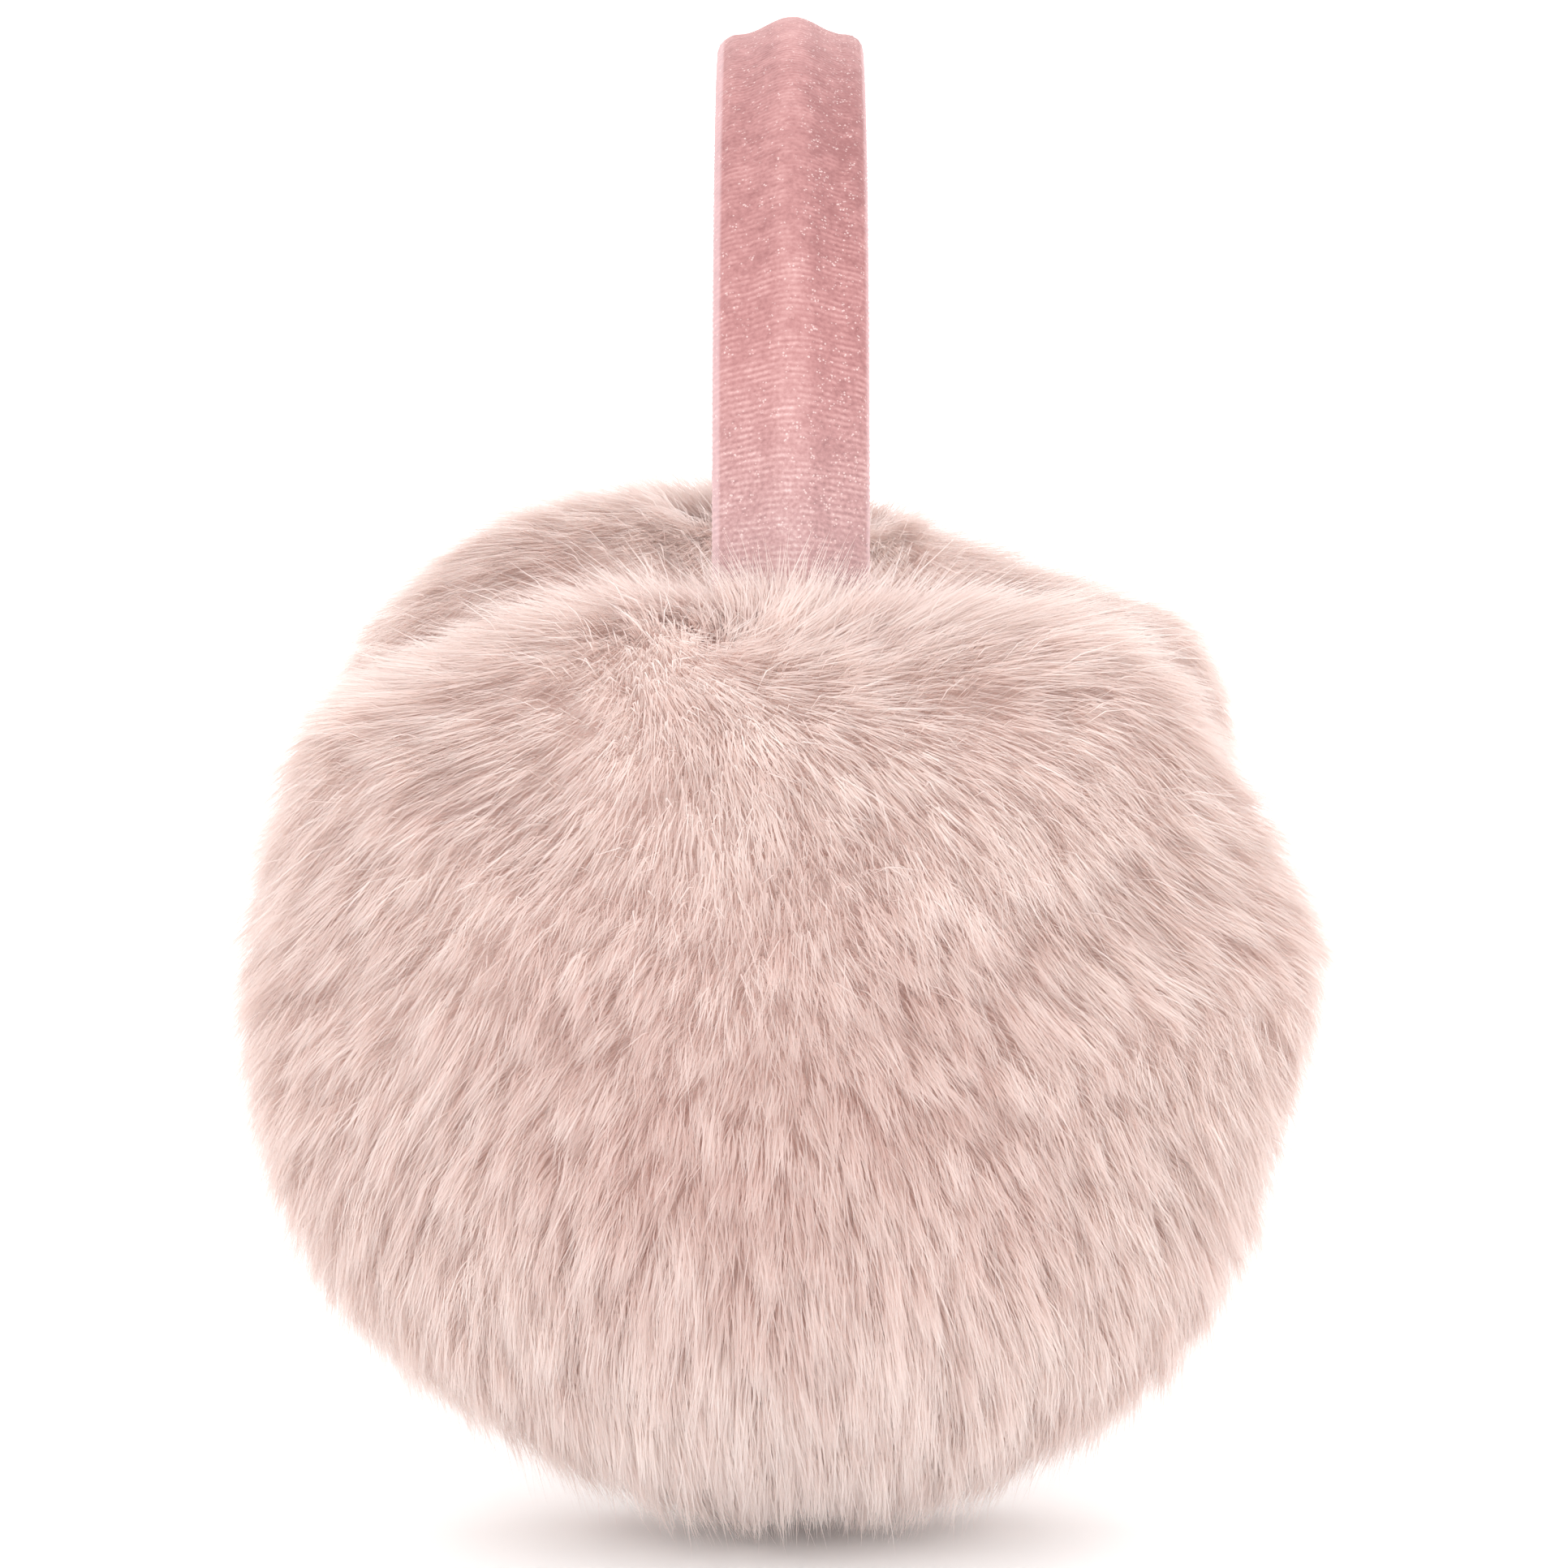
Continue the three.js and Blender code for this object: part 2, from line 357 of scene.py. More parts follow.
def makeBandMesh():
    section = bandSection()
    size = len(section)
    ahead = np.roll(section, -1, 0) - np.roll(section, 1, 0)
    normals = np.stack([ahead[:, 1], -ahead[:, 0]], 1)
    normals /= np.linalg.norm(normals, axis=1)[:, None]
    path, total = bandPath()
    run, x, z, turn = path.T
    outX, outZ = np.cos(turn)[:, None], np.sin(turn)[:, None]
    px = x[:, None] + outX * section[:, 1]
    pz = z[:, None] + outZ * section[:, 1]
    py = np.broadcast_to(band["middle"] + section[:, 0], px.shape)
    points = np.stack([px, py, pz], -1).reshape(-1, 3)
    ny = np.broadcast_to(normals[:, 0], px.shape)
    outward = np.stack([outX * normals[:, 1], ny, outZ * normals[:, 1]], -1).reshape(-1, 3)
    ring = np.arange(size)
    faces = []
    for r in range(len(run) - 1):
        here, there = r * size + ring, (r + 1) * size + ring
        faces.extend(np.stack([here, there, np.roll(there, -1), np.roll(here, -1)], 1).tolist())
    faces.append(ring.tolist())
    faces.append((len(run) - 1) * size + ring[::-1])
    mesh = meshOf("headband_sleeve", points, faces)
    addVectors(mesh, "outward", outward)
    addFloats(mesh, "run", np.repeat(run, size))
    addFloats(mesh, "across", np.tile(section[:, 0] / (band["width"] / 2), len(run)))
    tidy = bmesh.new()
    tidy.from_mesh(mesh)
    bmesh.ops.recalc_face_normals(tidy, faces=tidy.faces)
    tidy.to_mesh(mesh)
    tidy.free()
    mesh.polygons.foreach_set("use_smooth", np.ones(len(mesh.polygons), bool))
    return mesh


def ribTree():  # raises fine knitted ribs that climb towards the ridge
    graph, given = newTree("sleeve ribs", [
        ("Rib Pitch", "NodeSocketFloat"), ("Rib Height", "NodeSocketFloat"), ("Climb", "NodeSocketFloat"),
        ("Material", "NodeSocketMaterial"),
    ])
    across = graph.named("across")
    run = graph.named("run")
    spot = graph.node("GeometryNodeInputPosition", {}, {})
    wander = graph.node("ShaderNodeTexNoise", {}, {"Vector": spot, "Scale": 160.0, "Detail": 2.0})
    climb = given["Climb"] * (1 - across * across) + (wander - 0.5) * band["climbStray"]
    wave = graph.sine((run + climb) / given["Rib Pitch"] * (2 * math.pi))
    lumps = graph.node("ShaderNodeTexNoise", {}, {"Vector": spot, "Scale": 900.0, "Detail": 1.0})
    height = given["Rib Height"] * (wave * 0.6 + (lumps - 0.5) * 1.6)
    offset = graph.scaled(graph.named("outward", "FLOAT_VECTOR"), height)
    moved = graph.node("GeometryNodeSetPosition", {}, {"Geometry": given["Geometry"], "Offset": offset})
    real = graph.node("GeometryNodeRealizeInstances", {}, {"Geometry": moved})
    done = graph.node("GeometryNodeSetMaterial", {}, {"Geometry": real, "Material": given["Material"]})
    return finishTree(graph, done)


def velvetMaterial():
    material, graph, shader = newMaterial("velvet")
    across = graph.attribute("across")
    run = graph.attribute("run")
    spot = graph.node("ShaderNodeTexCoord", {}, {}, "Object")
    broad = graph.node("ShaderNodeTexNoise", {}, {"Vector": spot, "Scale": 55.0, "Detail": 3.0})
    fine = graph.node("ShaderNodeTexNoise", {}, {"Vector": spot, "Scale": 1500.0, "Detail": 2.0})
    height = graph.node("ShaderNodeSeparateXYZ", {}, {0: spot}, "Z")
    low = graph.remapped(height, 0.113, 0.16, 1.0, 0.0)
    row = (run + band["climb"] * (1 - across * across) + (broad - 0.5) * 0.0012) / band["ribPitch"]
    ribs = graph.sine(row * (2 * math.pi))
    worn = graph.node("ShaderNodeTexNoise", {}, {"Vector": spot, "Scale": 330.0, "Detail": 3.0})
    loops = graph.node("ShaderNodeCombineXYZ", {}, {"X": across * 11.0, "Y": row * 1.0})
    loops = graph.node("ShaderNodeTexNoise", {}, {"Vector": loops, "Scale": 1.7, "Detail": 2.0})
    # painted highlight: the ridge's stripe is made lighter in the colour, as light from above would fall on
    # it
    ridge = graph.remapped(across * across, 0.0, 0.1, 1.0, 0.0)
    # right flank: painted shade darkens it in the tone, as it faces away from the light; the painted glints
    # also gather on it
    right = graph.remapped(across, -0.1, 0.3)
    # top of the arch: painted shade darkens it in the tone, where the surface turns away; the ribs also fade
    # there
    high = graph.remapped(height, 0.15, 0.19)
    shown = graph.remapped(worn, 0.36, 0.62) * (0.15 - high * 0.11) + low * 0.04
    tone = broad * 0.3 + fine * 0.35 + (worn - 0.5) * 0.55 + (loops - 0.5) * (0.4 + low * 1.1) + ribs * shown
    # the tone holds painted light and shade: a lighter ridge and a darker right flank and top; the bottom is
    # paler and greyer
    tone = tone + ridge * 0.12 + low * 0.18 - right * 0.07 - high * 0.16 + 0.13
    stops = [(0.15, linear(150, 97, 97)), (0.42, linear(178, 125, 124)), (0.7, linear(200, 152, 150)),
             (1.0, linear(224, 192, 190))]
    base = graph.node("ShaderNodeValToRGB", {"stops": stops}, {"Fac": tone})
    base = graph.colours(base, colour(182, 174, 174), low * 0.42)
    # painted sheen: paler pink towards both long edges of the sleeve, where the pile catches light at a
    # grazing angle
    painted_edge_sheen = graph.remapped(across * across, 0.88, 0.98)
    base = graph.colours(base, colour(226, 198, 202), painted_edge_sheen * 0.4)
    # painted glints: tiny near-white specks where the pile catches light, more on the right flank and lower
    # down; they also lower the roughness
    glint_cells = graph.node("ShaderNodeTexVoronoi", {"distance": "EUCLIDEAN"}, {"Vector": spot, "Scale": 2300.0})
    pick = graph.node("ShaderNodeTexNoise", {}, {"Vector": spot, "Scale": 900.0, "Detail": 2.0})
    pick = pick + right * 0.05 + low * 0.05
    painted_glints = graph.remapped(glint_cells, 0.2, 0.4, 1.0, 0.0) * graph.remapped(pick, 0.55, 0.66)
    base = graph.colours(base, colour(252, 228, 224), painted_glints * 0.5)
    feed(graph, base, shader, "Base Color")
    feed(graph, 0.72 - painted_glints * 0.3, shader, "Roughness")
    bump = graph.node("ShaderNodeBump", {}, {"Strength": 0.5, "Distance": 0.0002, "Height": fine})
    feed(graph, bump, shader, "Normal")
    shader.inputs["Sheen Weight"].default_value = 0.5
    shader.inputs["Sheen Roughness"].default_value = 0.35
    shader.inputs["Sheen Tint"].default_value = colour(255, 222, 220)
    return material


def makeBand():
    base = newObject("sleeve_base", makeBandMesh())
    values = {"Rib Pitch": band["ribPitch"], "Rib Height": band["ribHeight"], "Climb": band["climb"],
              "Material": velvetMaterial()}
    sleeve = grown(base, ribTree(), values, "headband_sleeve")
    bpy.data.objects.remove(base)
    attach(sleeve, "root")
    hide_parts("headband")
    print("headband made:", len(sleeve.data.polygons), "faces")


makeBand()


# fur

muff = {
    "out": furBox[1].x - band["radius"] - 1.5 * mm,
    "into": 25 * mm,
    "side": 72.5 * mm,
    "up": furBox[1].z - (padBox[0].z + padBox[1].z) / 2,
    "down": (padBox[0].z + padBox[1].z) / 2 - 0.6 * mm,
    "roundDepth": 2.35,
    "roundAbove": 2.4,
    "roundBelow": 1.9,
    "pile": 12 * mm,  # how deep the skin lies under the tips
    "pileInner": 5.5 * mm,
    "padReach": 41 * mm,  # no fur within this of the pad's axis
    "slotMiddle": 76.4 * mm,  # the slot that the band goes down into
    "slotHalfDepth": 5 * mm,
    "slotHalfWidth": 12.5 * mm,
    "skinLift": 2 * mm,  # the backing stays this far above the floor
    "tipLift": 0.7 * mm,
    "bendLift": 1.2 * mm,
    "hairLift": 0.4 * mm,
}
muffMiddle = np.array([band["radius"], (padBox[0].y + padBox[1].y) / 2, (padBox[0].z + padBox[1].z) / 2])
whorl = np.array([0.22, -0.13, 0.97])
whorl /= np.linalg.norm(whorl)

# how each outline departs from the plain round, seen from outside: degrees from the top towards +Y
outlineRows = [
    {"angle": 0, "share": -0.005}, {"angle": 14, "share": -0.01}, {"angle": 26, "share": 0.015},
    {"angle": 37, "share": 0.05}, {"angle": 48, "share": 0.02}, {"angle": 61, "share": -0.04},
    {"angle": 72, "share": -0.005}, {"angle": 84, "share": 0.045}, {"angle": 92, "share": -0.01},
    {"angle": 106, "share": -0.02}, {"angle": 120, "share": 0.02}, {"angle": 140, "share": 0.045},
    {"angle": 160, "share": 0.025}, {"angle": 180, "share": 0.005}, {"angle": 198, "share": 0.015},
    {"angle": 218, "share": 0.01}, {"angle": 234, "share": 0.035}, {"angle": 252, "share": 0.03},
    {"angle": 274, "share": 0.02}, {"angle": 290, "share": 0.02}, {"angle": 305, "share": 0.07},
    {"angle": 315, "share": 0.02}, {"angle": 336, "share": 0.025},
]
otherRows = [
    {"angle": 0, "share": -0.03}, {"angle": 14, "share": 0.0}, {"angle": 30, "share": 0.03},
    {"angle": 46, "share": 0.05}, {"angle": 53, "share": 0.05}, {"angle": 61, "share": 0.06},
    {"angle": 70, "share": 0.09}, {"angle": 84, "share": 0.045}, {"angle": 106, "share": -0.01},
    {"angle": 140, "share": 0.03}, {"angle": 180, "share": 0.005}, {"angle": 232, "share": 0.02},
    {"angle": 274, "share": 0.03}, {"angle": 290, "share": 0.07}, {"angle": 299, "share": 0.07},
    {"angle": 306, "share": -0.03}, {"angle": 318, "share": -0.1}, {"angle": 334, "share": -0.09},
    {"angle": 350, "share": -0.02},
]

fur = {
    "strandsPerHalf": 96000,
    "lockSpacing": 2.0 * mm,
    "slide": 9 * mm,  # how far a tip lies from above its root
    "width": 0.16 * mm,
    "wander": 0.4,  # how far neighbouring locks turn out of the comb's way, in radians
    "droop": 1.3,  # how strongly the comb turns downwards away from the whorl
    "swirl": 1.0,  # how far the hair turns round the whorl, in radians
    "lockPull": 0.7,
    "lockStray": 2.0 * mm,
    "strandStray": 1.25 * mm,
    "seed": 11,
    "otherSeed": 71,
    "guideDensity": 400000.0,  # the most locks to a square metre
    "through": 0.55,  # the share of light that passes through a hair
}

fieldNames = ("tip", "bend", "growth", "pale", "wild", "clump")


def envelope(d, outlineRows):  # how far the tips of the fur lie from the muff's middle, in each direction
    x = np.abs(d[:, 0]) / np.where(d[:, 0] > 0, muff["out"], muff["into"])
    y = np.abs(d[:, 1]) / muff["side"]
    z = np.abs(d[:, 2]) / np.where(d[:, 2] > 0, muff["up"], muff["down"])
    power = np.where(d[:, 2] > 0, muff["roundAbove"], muff["roundBelow"])
    outline = (y**power + z**power) ** (1 / power)
    reach = (x ** muff["roundDepth"] + outline ** muff["roundDepth"]) ** (-1 / muff["roundDepth"])
    angle = np.degrees(np.arctan2(d[:, 1], d[:, 2])) % 360
    angles = [row["angle"] for row in outlineRows]
    share = np.interp(angle, angles, [row["share"] for row in outlineRows], period=360)
    return reach * (1 + share * np.sqrt(np.clip(1 - d[:, 0] ** 2, 0, 1)))


def combed(d):  # the way the fur lies over the surface: away from the whorl, then down
    away = (d @ whorl)[:, None] * d - whorl
    away /= np.maximum(np.linalg.norm(away, axis=1), tiny)[:, None]
    down = np.array([0, 0, -1.0]) + d[:, 2][:, None] * d
    angle = np.arccos(np.clip(d @ whorl, -1, 1))
    swirl = fur["swirl"] * (1 - smooth(0.1, 0.6, angle))
    around = np.cross(d, away)
    away = away * np.cos(swirl)[:, None] + around * np.sin(swirl)[:, None]
    pull = smooth(math.radians(18), math.radians(75), angle) * fur["droop"]
    way = away + down * pull[:, None]
    way -= np.sum(way * d, 1)[:, None] * d
    way /= np.maximum(np.linalg.norm(way, axis=1), tiny)[:, None]
    wander = fur["wander"] * rough(d * muff["side"], 13 * mm, (5.5, 1.2, 8.8))
    return way * np.cos(wander)[:, None] + np.cross(d, way) * np.sin(wander)[:, None]


def unit(v):
    return v / np.linalg.norm(v, axis=1)[:, None]


def rough(points, size, offset):  # smooth noise, about -1 to 1, at each point
    return np.array([noise.noise(Vector(p / size) + Vector(offset)) for p in points])


# where the hair parts and sinks in on the muff's outer side, in mm; the fur's tone is painted darker there as
# shade
partingRows = [
    {"across": 14.8, "height": 94.5, "wide": 4.5, "tall": 2.2, "deep": 6.5},
    {"across": -43.0, "height": 100.0, "wide": 4.0, "tall": 2.5, "deep": 4.5},
    {"across": -18.5, "height": 118.0, "wide": 2.0, "tall": 3.0, "deep": 3.5},
    {"across": -11.5, "height": 106.0, "wide": 2.2, "tall": 6.0, "deep": 3.0},
    {"across": -14.0, "height": 52.0, "wide": 8.0, "tall": 3.0, "deep": 2.0},
    {"across": 33.0, "height": 44.0, "wide": 3.5, "tall": 6.0, "deep": 2.5},
]


def parted(points):  # how far the partings sink each point
    sunk = np.zeros(len(points))
    for row in partingRows:
        y = (points[:, 1] / mm - row["across"]) / row["wide"]
        z = (points[:, 2] / mm - row["height"]) / row["tall"]
        sunk += row["deep"] * mm * np.exp(-(y**2) - z**2) * (points[:, 0] > muffMiddle[0])
    return sunk


def keepOffPad(points, margin):  # moves points out of the ear pad's space
    out = points[:, 1:] - muffMiddle[1:]
    reach = np.linalg.norm(out, axis=1)
    least = muff["padReach"] + margin
    near = (reach < least) & (points[:, 0] < padBox[1].x + 2 * mm)
    scale = np.where(near, least / np.maximum(reach, tiny), 1)
    points[:, 1:] = muffMiddle[1:] + out * scale[:, None]


def keepOffBand(points, margin, roots):  # moves points out of the band's space, to the side of their roots
    half = band["width"] / 2 + 2.5 * mm
    near = (np.abs(points[:, 1] - muffMiddle[1]) < half) & (points[:, 2] > band["legEnd"] - 2 * mm)
    outer = bandBox[1].x + margin
    inner = band["radius"] - band["thickness"] / 2 - margin
    inside = near & (points[:, 0] > inner) & (points[:, 0] < outer)
    points[:, 0] = np.where(inside, np.where(roots[:, 0] > band["radius"], outer, inner), points[:, 0])


def makeSkin(detail, name, rows):  # the fur's backing, with where each hair grown on it bends and ends
    ball = bmesh.new()
    bmesh.ops.create_icosphere(ball, subdivisions=detail, radius=1)
    mesh = bpy.data.meshes.new(name)
    ball.to_mesh(mesh)
    ball.free()
    d = np.zeros(len(mesh.vertices) * 3, np.float32)
    mesh.vertices.foreach_get("co", d)
    d = unit(d.reshape(-1, 3).astype(float))
    inner = smooth(0.1, 0.8, -d[:, 0])
    fromWhorl = np.arccos(np.clip(d @ whorl, -1, 1))
    nearWhorl = 1 - smooth(0.1, 0.55, fromWhorl)
    crown = smooth(0.2, 0.6, d[:, 2])
    pile = blended(muff["pile"], muff["pileInner"], inner) * (1 - 0.25 * nearWhorl) * (1 - 0.2 * crown)
    skin = muffMiddle + d * (envelope(d, rows) - pile)[:, None]
    padSide = np.linalg.norm(skin[:, 1:] - muffMiddle[1:], axis=1) < muff["padReach"]
    face = padBox[1].x + 0.5 * mm
    skin[:, 0] = np.where(padSide, np.maximum(skin[:, 0], face), skin[:, 0])
    slot = (np.abs(skin[:, 0] - muff["slotMiddle"]) < muff["slotHalfDepth"]) & (d[:, 2] > 0)
    slot &= np.abs(skin[:, 1]) < muff["slotHalfWidth"]
    skin[:, 2] = np.where(slot, np.minimum(skin[:, 2], band["legEnd"] - 1 * mm), skin[:, 2])
    skin[:, 2] = np.maximum(skin[:, 2], muff["skinLift"])
    mesh.vertices.foreach_set("co", skin.astype(np.float32).ravel())
    mesh.update()

    wave = rough(muffMiddle + d * envelope(d, rows)[:, None], 15 * mm, (3.1, 7.7, 1.9))
    ripple = rough(muffMiddle + d * envelope(d, rows)[:, None], 7 * mm, (9.4, 2.2, 5.3))
    upright = smooth(0.0, 0.45, -d[:, 0]) * smooth(-0.1, 0.5, d[:, 2])
    slide = fur["slide"] * (1 - 0.6 * upright) * blended(1, 0.85, nearWhorl)
    outer = smooth(0.5, 0.95, d[:, 0])
    slide *= blended(1.2, 0.8, outer) * (1 + 0.3 * wave + 0.25 * ripple)
    steps, bendStep = 8, 2  # a hair leaves its root in eight steps and bends after the third
    at = d.copy()
    bendWay = d.copy()
    for step in range(steps):
        at = unit(at * envelope(at, rows)[:, None] + combed(at) * (slide / steps)[:, None])
        if step == bendStep:
            bendWay = at.copy()
    tip = muffMiddle + at * (envelope(at, rows) * (1 + 0.02 * wave))[:, None]
    tip -= at * parted(tip)[:, None]
    bend = muffMiddle + bendWay * (envelope(bendWay, rows) - 0.12 * pile)[:, None]
    keepOffPad(tip, 1 * mm)
    keepOffPad(bend, 2 * mm)
    keepOffBand(tip, 0.6 * mm, skin)
    keepOffBand(bend, 1.6 * mm, skin)
    tip[:, 2] = np.maximum(tip[:, 2], muff["tipLift"])
    bend[:, 2] = np.maximum(bend[:, 2], muff["bendLift"])
    bare = padSide & (skin[:, 0] < face + 1 * mm)
    addVectors(mesh, "tip", tip)
    addVectors(mesh, "bend", bend)
    growth = blended(blended(1, 1.15, crown), blended(0.5, 1.9, crown), inner) * (1 + 0.7 * nearWhorl)
    addFloats(mesh, "growth", np.where(bare | slot, 0, growth))
    addFloats(mesh, "wild", blended(1 + 0.5 * crown + 0.5 * nearWhorl, 0.6, inner))
    addFloats(mesh, "clump", blended(1, 0.3, smooth(0.1, 0.7, d[:, 2])) * blended(1, 0.35, inner))
    under = smooth(0.84, 0.95, -d[:, 2])  # the soft layer that shows under the muff is paler
    painted_parting_shade = parted(tip) / (4 * mm)
    # the fur's tone, with painted light and shade in it: darker on the outer face, where the hair is seen
    # end-on, and paler towards the edges as if lit from behind; darker in the partings; the rest is random
    # tone, a paler underside and a rosier whorl
    addFloats(mesh, "pale", 0.45 * ripple + 0.35 * wave + 1.2 * under + 1.2 - 1.9 * outer
              - 0.5 * nearWhorl - 2.0 * painted_parting_shade)
    return mesh


def makeUnitStrand():  # one flat hair, widest at its bend: across on X, along on Z
    points = [(0, 0, 0), (-0.5, 0, 0.5), (0.5, 0, 0.5), (0, 0, 1)]
    return newObject("one_strand", meshOf("one_strand", points, [(0, 2, 1), (1, 2, 3)]))


def furTree():
    graph, given = newTree("combed fur", [
        ("Strand", "NodeSocketObject"), ("Density", "NodeSocketFloat"), ("Side", "NodeSocketFloat"),
        ("Lock Spacing", "NodeSocketFloat"), ("Lock Pull", "NodeSocketFloat"),
        ("Lock Stray", "NodeSocketFloat"), ("Strand Stray", "NodeSocketFloat"),
        ("Strand Width", "NodeSocketFloat"), ("Seed", "NodeSocketInt"), ("Strand Seed", "NodeSocketInt"),
        ("Material", "NodeSocketMaterial"),
    ])
    vectorKind = "FLOAT_VECTOR"
    spot = graph.node("GeometryNodeInputPosition", {}, {})
    tip = graph.named("tip", vectorKind)
    bend = graph.named("bend", vectorKind)
    seed = given["Seed"]

    # one guide for each lock of hair
    sockets = {"Mesh": given["Geometry"], "Distance Min": given["Lock Spacing"],
               "Density Max": fur["guideDensity"], "Seed": seed}
    guides = graph.node("GeometryNodeDistributePointsOnFaces", {"distribute_method": "POISSON"}, sockets)
    stray = graph.random((-1, -1, -1), (1, 1, 1), seed + 1, vectorKind)
    reach = graph.random(0.78, 1.06, seed + 2)
    ahead = graph.scaled(graph.vector("SUBTRACT", tip, spot), reach)
    wild = graph.named("wild")
    stray = graph.scaled(stray, given["Lock Stray"] * wild)
    lockTip = graph.vector("ADD", graph.vector("ADD", spot, ahead), stray)
    guides = graph.stored(guides, "lockTip", lockTip, vectorKind)
    guides = graph.stored(guides, "lockShift", graph.vector("SUBTRACT", lockTip, tip), vectorKind)
    guides = graph.stored(guides, "lockTint", graph.random(-1.0, 1.0, seed + 3))

    # the strands, each drawn towards its nearest guide
    half = graph.node("ShaderNodeSeparateXYZ", {}, {0: spot}, "Y")
    side = graph.remapped((half - float(muffMiddle[1])) * given["Side"], -0.0001, 0.0001)
    sockets = {"Mesh": given["Geometry"], "Density": given["Density"] * graph.named("growth") * side,
               "Seed": given["Strand Seed"]}
    points = graph.node("GeometryNodeDistributePointsOnFaces", {"distribute_method": "RANDOM"}, sockets)
    near = graph.node("GeometryNodeSampleNearest", {}, {"Geometry": guides, "Sample Position": spot})

    def fromGuide(name, kind):
        sockets = {"Geometry": guides, "Value": graph.named(name, kind), "Index": near}
        return graph.node("GeometryNodeSampleIndex", {"data_type": kind}, sockets)

    lockEnd = fromGuide("lockTip", vectorKind)
    shift = fromGuide("lockShift", vectorKind)
    tint = fromGuide("lockTint", "FLOAT")
    loose = graph.random(0.0, 1.0, seed + 5) ** 5.0  # a few stray hairs
    pull = given["Lock Pull"] * graph.named("clump") * graph.random(0.75, 1.2, seed + 6)
    pull = graph.clamped(pull * (1 - loose))
    length = graph.random(0.78, 1.03, seed + 7)
    jitter = graph.scaled(graph.random((-1, -1, -1), (1, 1, 1), seed + 8, vectorKind),
                          given["Strand Stray"] * wild * (1 + loose * 3.0))
    own = graph.vector("ADD", tip, graph.scaled(shift, 0.5))
    end = graph.vector("ADD", graph.vectors(own, lockEnd, pull), jitter)
    end = graph.vector("ADD", spot, graph.scaled(graph.vector("SUBTRACT", end, spot), length))
    middle = graph.vector("ADD", bend, graph.scaled(shift, 0.45))
    middle = graph.vector("ADD", middle, graph.scaled(jitter, 0.5))
    points = graph.stored(points, "start", spot, vectorKind)
    points = graph.stored(points, "middle", middle, vectorKind)
    points = graph.stored(points, "end", end, vectorKind)
    way = graph.vector("NORMALIZE", graph.vector("SUBTRACT", end, middle))
    out = graph.vector("SUBTRACT", spot, tuple(float(c) for c in muffMiddle))
    flat = graph.vector("NORMALIZE", graph.vector("CROSS_PRODUCT", way, out))
    turn = graph.random(-0.5, 0.5, seed + 9)
    level = graph.node("ShaderNodeMath", {"operation": "COSINE"}, {0: turn})
    across = graph.vector("ADD", graph.scaled(flat, level),
                          graph.scaled(graph.vector("CROSS_PRODUCT", way, flat), graph.sine(turn)))
    wide = given["Strand Width"] * graph.random(0.7, 1.25, seed + 10)
    points = graph.stored(points, "wide", graph.scaled(across, wide), vectorKind)
    # each strand's tone: its lock's random tint plus the painted light and shade of the muff's field
    shade = 0.52 + graph.named("pale") * 0.3 + tint * 0.26 + graph.random(-0.22, 0.22, seed + 12)
    shade = graph.clamped(shade, 0.02, 0.98)
    points = graph.stored(points, "shade", shade)

    # a bent ribbon for each
    sockets = {"Object": given["Strand"]}
    ribbon = graph.node("GeometryNodeObjectInfo", {}, sockets, "Geometry")
    ribbon = graph.stored(ribbon, "unit", spot, vectorKind)
    placed = graph.node("GeometryNodeInstanceOnPoints", {}, {"Points": points, "Instance": ribbon})
    real = graph.node("GeometryNodeRealizeInstances", {}, {"Geometry": placed})
    place = graph.named("unit", vectorKind)
    sideways = graph.node("ShaderNodeSeparateXYZ", {}, {0: place}, "X")
    along = graph.node("ShaderNodeSeparateXYZ", {}, {0: place}, "Z")
    left = 1 - along
    curve = graph.vector("ADD", graph.scaled(graph.named("start", vectorKind), left * left),
                         graph.scaled(graph.named("middle", vectorKind), 2 * along * left))
    curve = graph.vector("ADD", curve, graph.scaled(graph.named("end", vectorKind), along * along))
    curve = graph.vector("ADD", curve, graph.scaled(graph.named("wide", vectorKind), sideways))
    low = graph.node("ShaderNodeSeparateXYZ", {}, {0: curve}, "Z")
    floorLift = graph.node("ShaderNodeMath", {"operation": "MAXIMUM"}, {0: low, 1: muff["hairLift"]})
    sockets = {"X": graph.node("ShaderNodeSeparateXYZ", {}, {0: curve}, "X"),
               "Y": graph.node("ShaderNodeSeparateXYZ", {}, {0: curve}, "Y"), "Z": floorLift}
    curve = graph.node("ShaderNodeCombineXYZ", {}, sockets)
    bent = graph.node("GeometryNodeSetPosition", {}, {"Geometry": real, "Position": curve})
    # the hair's own map: its tone on X, with the painted light and shade it carries, the way from root to tip
    # on Y
    sockets = {"X": graph.named("shade") + sideways * 0.01, "Y": 0.01 + along * 0.98}
    bent = graph.stored(bent, "OFBake", graph.node("ShaderNodeCombineXYZ", {}, sockets), "FLOAT2", "CORNER")
    for name in ("start", "middle", "end", "wide", "unit", "shade", *fieldNames):
        bent = graph.node("GeometryNodeRemoveAttribute", {}, {"Geometry": bent, "Name": name})
    done = graph.node("GeometryNodeSetMaterial", {}, {"Geometry": bent, "Material": given["Material"]})
    return finishTree(graph, done)


